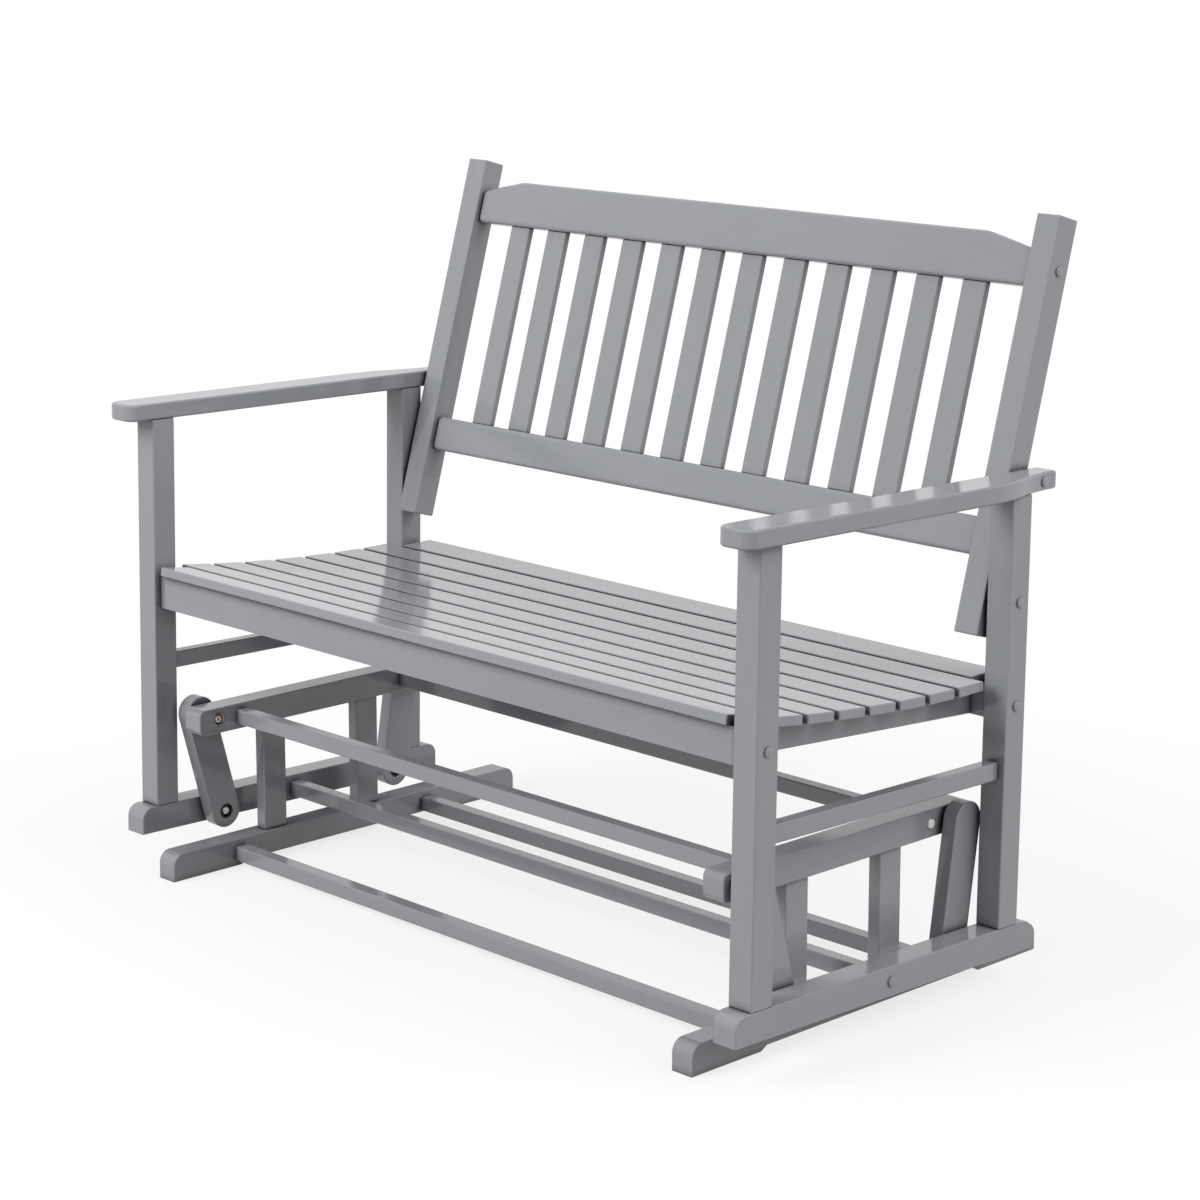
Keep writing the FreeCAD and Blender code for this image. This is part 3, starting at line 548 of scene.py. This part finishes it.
# %% Places along a pivot
RAIL_SINK, ARM_SINK = 4 * MM, 8 * MM
SPACER_REACH = 10 * MM
SHANK_FIT = 0.4 * MM
RING_PLAY = 0.3 * MM
rail_in, rail_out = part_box("hanger_rail_right")[0].x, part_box("hanger_rail_right")[1].x
arm_in, arm_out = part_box("swing_arm_front_right")[0].x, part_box("swing_arm_front_right")[1].x
post_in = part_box("post_front_right")[0].x
lower_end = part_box("lower_front_bolts")[1].x
upper_low, upper_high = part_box("upper_pivot_bolts")
upper_level = middle_of("upper_pivot_bolts").z
upper_places = [(upper_low.y + SPACER_REACH, upper_level),
                (upper_high.y - SPACER_REACH, upper_level)]
print("upper pivots:", [tuple(round(c, 4) for c in spot) for spot in upper_places])

# %% Shanks and spacer rings
SHANK_RADIUS, SHANK_TIP = 4, 3.5
RING_BORE, RING_FLAT, RING_RADIUS = 4.1, 9.5, 10
END_EASE = 0.5


def add_shank(mesh, side, y, z, start, end, finish):
    """The plain shank of a bolt, from its head outwards."""
    long = (end - start) / MM
    profile = ((0, 0), (SHANK_RADIUS, 0), (SHANK_RADIUS, long - END_EASE), (SHANK_TIP, long),
               (0, long))
    turn(mesh, profile, Vector((side * start, y, z)), (side, 0, 0), finish)


def add_ring(mesh, side, y, z, start, end, finish):
    """The spacer ring between an arm and the wood beside it."""
    long = (end - start) / MM
    profile = ((RING_BORE, 0), (RING_FLAT, 0), (RING_RADIUS, END_EASE),
               (RING_RADIUS, long - END_EASE), (RING_FLAT, long), (RING_BORE, long))
    turn(mesh, profile, Vector((side * start, y, z)), (side, 0, 0), finish)


# %% [markdown]
# The upper screw has a pan head with a cross recess. It lies in a cup washer whose rim stands
# a millimetre proud of the rail and hides the edge of the hole. Both could be bevelled
# primitives, but a turned profile holds the rim, the dish and its floor in one short outline.

# %% Upper pivot hardware
CUP_WASHER = ((4.3, 0.02), (7.1, 0.02), (7.2, 4.02), (9.6, 4.02), (9.7, 4.3), (9.4, 4.75),
              (8.4, 5.0), (7.3, 4.7), (6.5, 3.6), (6.0, 1.4), (5.2, 0.9), (4.3, 0.9))
PAN_HEAD = ((0, -0.1), (3.9, -0.1), (5.3, 0.95), (5.7, 1.5), (5.6, 2.5), (5.1, 3.3),
            (4.1, 3.9), (2.4, 4.25), (0, 4.35))
RECESS_LEVEL, RECESS_REACH, RECESS_WIDE, RECESS_DEEP = 3.9 * MM, 4.2 * MM, 0.95 * MM, 2.2 * MM
mesh, cutter = bmesh.new(), bmesh.new()
for side, _ in SIDES:
    inwards = Vector((-side, 0, 0))
    sunk = rail_in + RAIL_SINK
    for y, z in upper_places:
        seat = Vector((side * sunk, y, z))
        turn(mesh, CUP_WASHER, seat, inwards, 2)
        turn(mesh, PAN_HEAD, seat, inwards, 0)
        add_cross(cutter, seat + inwards * RECESS_LEVEL, inwards, RECESS_REACH, RECESS_WIDE,
                  RECESS_DEEP)
        add_shank(mesh, side, y, z, sunk, upper_high.x, 1)
        add_ring(mesh, side, y, z, rail_out, arm_in - RING_PLAY, 1)
upper_hardware = piece_from(mesh, "upper_pivot_hardware", [bronze, zinc, burnished])
cut(upper_hardware, cutter)
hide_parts("upper_pivot_bolts")
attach(upper_hardware, "base")
print("upper pivot hardware:", len(upper_hardware.data.polygons), "faces")

# %% [markdown]
# The lower bolt shows its silver end at the bottom of a black bush, with a ring of shadow
# round it. A dark disc painted on the arm would look the same from one side only, so the bush
# is a real sleeve with a thin flange, a collar inside it and the bolt end in the middle.

# %% Lower pivot hardware
BUSH = ((5.2, 0.35), (8.8, 0.35), (8.8, 8.02), (10.2, 8.02), (10.4, 8.2), (10.2, 8.45),
        (9.4, 8.6), (8.6, 8.4), (8.1, 7.6), (7.9, 2.6), (5.2, 2.6))
COLLAR = ((5.2, 2.6), (7.0, 2.6), (7.0, 4.6), (6.6, 5.2), (5.9, 5.4), (5.2, 5.4))
BOLT_END = ((0, 0.35), (5.1, 0.35), (5.1, 6.6), (4.6, 7.2), (3.8, 7.25), (3.6, 6.8),
            (3.0, 6.8), (2.8, 7.3), (1.2, 7.45), (0.8, 7.1), (0, 7.0))


def make_lower_hardware(node, body):
    """Both lower pivots of one end: bushes, collars, bolt ends, shanks and spacer rings."""
    mesh = bmesh.new()
    spot = middle_of(node)
    for side, _ in SIDES:
        seat = Vector((side * (arm_in + ARM_SINK), spot.y, spot.z))
        inwards = Vector((-side, 0, 0))
        turn(mesh, BUSH, seat, inwards, 1)
        turn(mesh, COLLAR, seat, inwards, 1)
        turn(mesh, BOLT_END, seat, inwards, 0)
        add_shank(mesh, side, spot.y, spot.z, arm_in + ARM_SINK - SHANK_FIT, lower_end, 0)
        add_ring(mesh, side, spot.y, spot.z, arm_out + RING_PLAY / 2, post_in - RING_PLAY / 2, 0)
    hardware = piece_from(mesh, node.replace("bolts", "hardware"), [zinc, black])
    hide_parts(node)
    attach(hardware, body)
    print(hardware.name, len(hardware.data.polygons), "faces")


for node, body in (("lower_front_bolts", "seat_frame"), ("lower_rear_bolts", "rear_arms")):
    make_lower_hardware(node, body)

# %% [markdown]
# The bench stands on a white floor that keeps only a soft shadow and runs into a white
# background with no horizon. More light would do that too, but it would bleach the bench. So
# the floor is lit as any matt surface is, and rays from the camera and from mirrors see that
# mixed with plain white, more of it the further out they land. Light that bounces from the
# floor back to the bench sees a grey floor instead: the shaded faces of the real bench are
# dark, so little light reached them from below.

# %% Rays that show white
WHITE = (1, 1, 1, 1)


def rays_that_show(tree):
    """1 for rays from the camera, from mirrors and through glass, 0 for rays that carry light."""
    rays = add_node(tree, "ShaderNodeLightPath")
    shown = add_node(tree, "ShaderNodeMath", {"operation": "MAXIMUM"})
    link(tree, rays, "Is Camera Ray", shown, 0)
    link(tree, rays, "Is Transmission Ray", shown, 1)
    more = add_node(tree, "ShaderNodeMath", {"operation": "MAXIMUM"})
    link(tree, shown, "Value", more, 0)
    link(tree, rays, "Is Glossy Ray", more, 1)
    return more.outputs["Value"]


# %% Floor
FLOOR_REACH = 14.0
FLOOR_NEAR, FLOOR_FAR = 0.7, 1.35
FLOOR_WASH = 0.77
FLOOR_SHOWN = 1.0
FLOOR_BOUNCE = 0.3


def make_floor_material():
    """A matt white that is greyer for bounced light and fades to plain white further out."""
    material = bpy.data.materials.new("studio_white")
    material.use_nodes = True
    tree = material.node_tree
    tree.nodes.clear()
    out = add_node(tree, "ShaderNodeOutputMaterial")
    seen = rays_that_show(tree)
    tint = add_node(tree, "ShaderNodeMapRange", values={
        "To Min": FLOOR_BOUNCE, "To Max": FLOOR_SHOWN})
    tree.links.new(seen, tint.inputs["Value"])
    lit = add_node(tree, "ShaderNodeBsdfDiffuse")
    link(tree, tint, "Result", lit, "Color")
    glow = add_node(tree, "ShaderNodeEmission", values={"Color": WHITE, "Strength": 1.0})
    place = add_node(tree, "ShaderNodeTexCoord")
    away = add_node(tree, "ShaderNodeVectorMath", {"operation": "LENGTH"})
    link(tree, place, "Object", away, 0)
    fade = add_node(tree, "ShaderNodeMapRange", {"interpolation_type": "SMOOTHSTEP"}, {
        "From Min": FLOOR_NEAR, "From Max": FLOOR_FAR, "To Min": FLOOR_WASH, "To Max": 1.0})
    link(tree, away, "Value", fade, "Value")
    share = add_node(tree, "ShaderNodeMath", {"operation": "MULTIPLY"})
    tree.links.new(seen, share.inputs[0])
    link(tree, fade, "Result", share, 1)
    blend = add_node(tree, "ShaderNodeMixShader")
    link(tree, share, "Value", blend, "Fac")
    tree.links.new(lit.outputs["BSDF"], blend.inputs[1])
    tree.links.new(glow.outputs["Emission"], blend.inputs[2])
    link(tree, blend, "Shader", out, "Surface")
    return material


def make_floor():
    """One large flat face under the bench."""
    mesh = bpy.data.meshes.new("studio_floor")
    corners = [(x * FLOOR_REACH, y * FLOOR_REACH, 0) for x, y in CORNERS]
    mesh.from_pydata(corners, [], [(0, 1, 2, 3)])
    floor = bpy.data.objects.new("studio_floor", mesh)
    scene.collection.objects.link(floor)
    floor.data.materials.append(make_floor_material())


make_floor()
print("floor:", 2 * FLOOR_REACH, "m square")

# %% [markdown]
# White walls could be built round the bench, but the world can stand for them. It gives a weak
# even light from all sides, and shows as plain white in the background and in the gloss.

# %% World
WORLD_LIGHT = 0.47


def make_world():
    """An even light from all round, which shows as plain white."""
    world = bpy.data.worlds.new("studio_world")
    scene.world = world
    world.use_nodes = True
    tree = world.node_tree
    tree.nodes.clear()
    out = add_node(tree, "ShaderNodeOutputWorld")
    light = add_node(tree, "ShaderNodeBackground", values={
        "Color": WHITE, "Strength": WORLD_LIGHT})
    white = add_node(tree, "ShaderNodeBackground", values={"Color": WHITE, "Strength": 1.0})
    blend = add_node(tree, "ShaderNodeMixShader")
    tree.links.new(rays_that_show(tree), blend.inputs["Fac"])
    tree.links.new(light.outputs["Background"], blend.inputs[1])
    tree.links.new(white.outputs["Background"], blend.inputs[2])
    link(tree, blend, "Shader", out, "Surface")


make_world()
print("world light:", WORLD_LIGHT)

# %% [markdown]
# Three large softboxes light the bench. The one in front stands high enough for the seat to
# shade what is under it, and makes the fronts of the boards the lightest upright faces. The
# pair at the right is twice as far away, so both ends of the bench get about the same light
# from it. It lights the outer faces there and leaves a small shadow at each plug. The
# front one stays out of mirror rays, because it would draw a hard bright line down each edge
# of the leaning boards, where the real paint shows a soft one.

# %% Lamps
BENCH_HEART = Vector((0, 0, 0.4))
SOFTBOXES = (
    ("front_softbox", (-1.3, -3.9, 3.1), 2.6, 158, False),
    ("right_softbox", (6.7, 2.5, 4.5), 4.6, 170, True),
    ("high_right_softbox", (5.4, 1.4, 5.8), 4.6, 110, True),
)


def add_softbox(name, place, size, power, mirrored):
    """A square area lamp that looks at the middle of the bench, and may show in the gloss."""
    lamp = bpy.data.lights.new(name, "AREA")
    lamp.shape = "SQUARE"
    lamp.size = size
    lamp.energy = power
    obj = bpy.data.objects.new(name, lamp)
    scene.collection.objects.link(obj)
    obj.location = place
    obj.rotation_euler = (BENCH_HEART - Vector(place)).to_track_quat("-Z", "Y").to_euler()
    obj.visible_glossy = mirrored


for name, place, size, power, mirrored in SOFTBOXES:
    add_softbox(name, place, size, power, mirrored)
print("softboxes:", len(SOFTBOXES))

# %% [markdown]
# The camera could be placed by eye. Here its place, its turn and its focal length were solved
# from straight edges of the bench in the photograph, which is 1200 pixels wide and high, so
# the two pictures can be laid over each other. The middle of the lens falls above the middle
# of the photograph, as it does in a cropped picture, and the lens is shifted by as much.

# %% Camera
PHOTO_SIDE = 1200
FOCAL_PIXELS = 3135.2
LENS_MIDDLE_PIXEL = 474.4
CAMERA_PLACE = (2.7987, -2.6898, 1.3204)
CAMERA_TURN = (90 - 10.852, 0, 45.825)
SENSOR = 36


def make_camera():
    """The camera at the photograph's place, with its focal length and shift."""
    lens = bpy.data.cameras.new("photo_camera")
    lens.sensor_width = SENSOR
    lens.lens = FOCAL_PIXELS * SENSOR / PHOTO_SIDE
    lens.shift_y = (LENS_MIDDLE_PIXEL - PHOTO_SIDE / 2) / PHOTO_SIDE
    camera = bpy.data.objects.new("photo_camera", lens)
    scene.collection.objects.link(camera)
    camera.location = CAMERA_PLACE
    camera.rotation_euler = [math.radians(angle) for angle in CAMERA_TURN]
    scene.camera = camera
    return lens


lens = make_camera()
scene.view_settings.view_transform = "Standard"
print("lens:", round(lens.lens, 1), "mm, shift", round(lens.shift_y, 4))
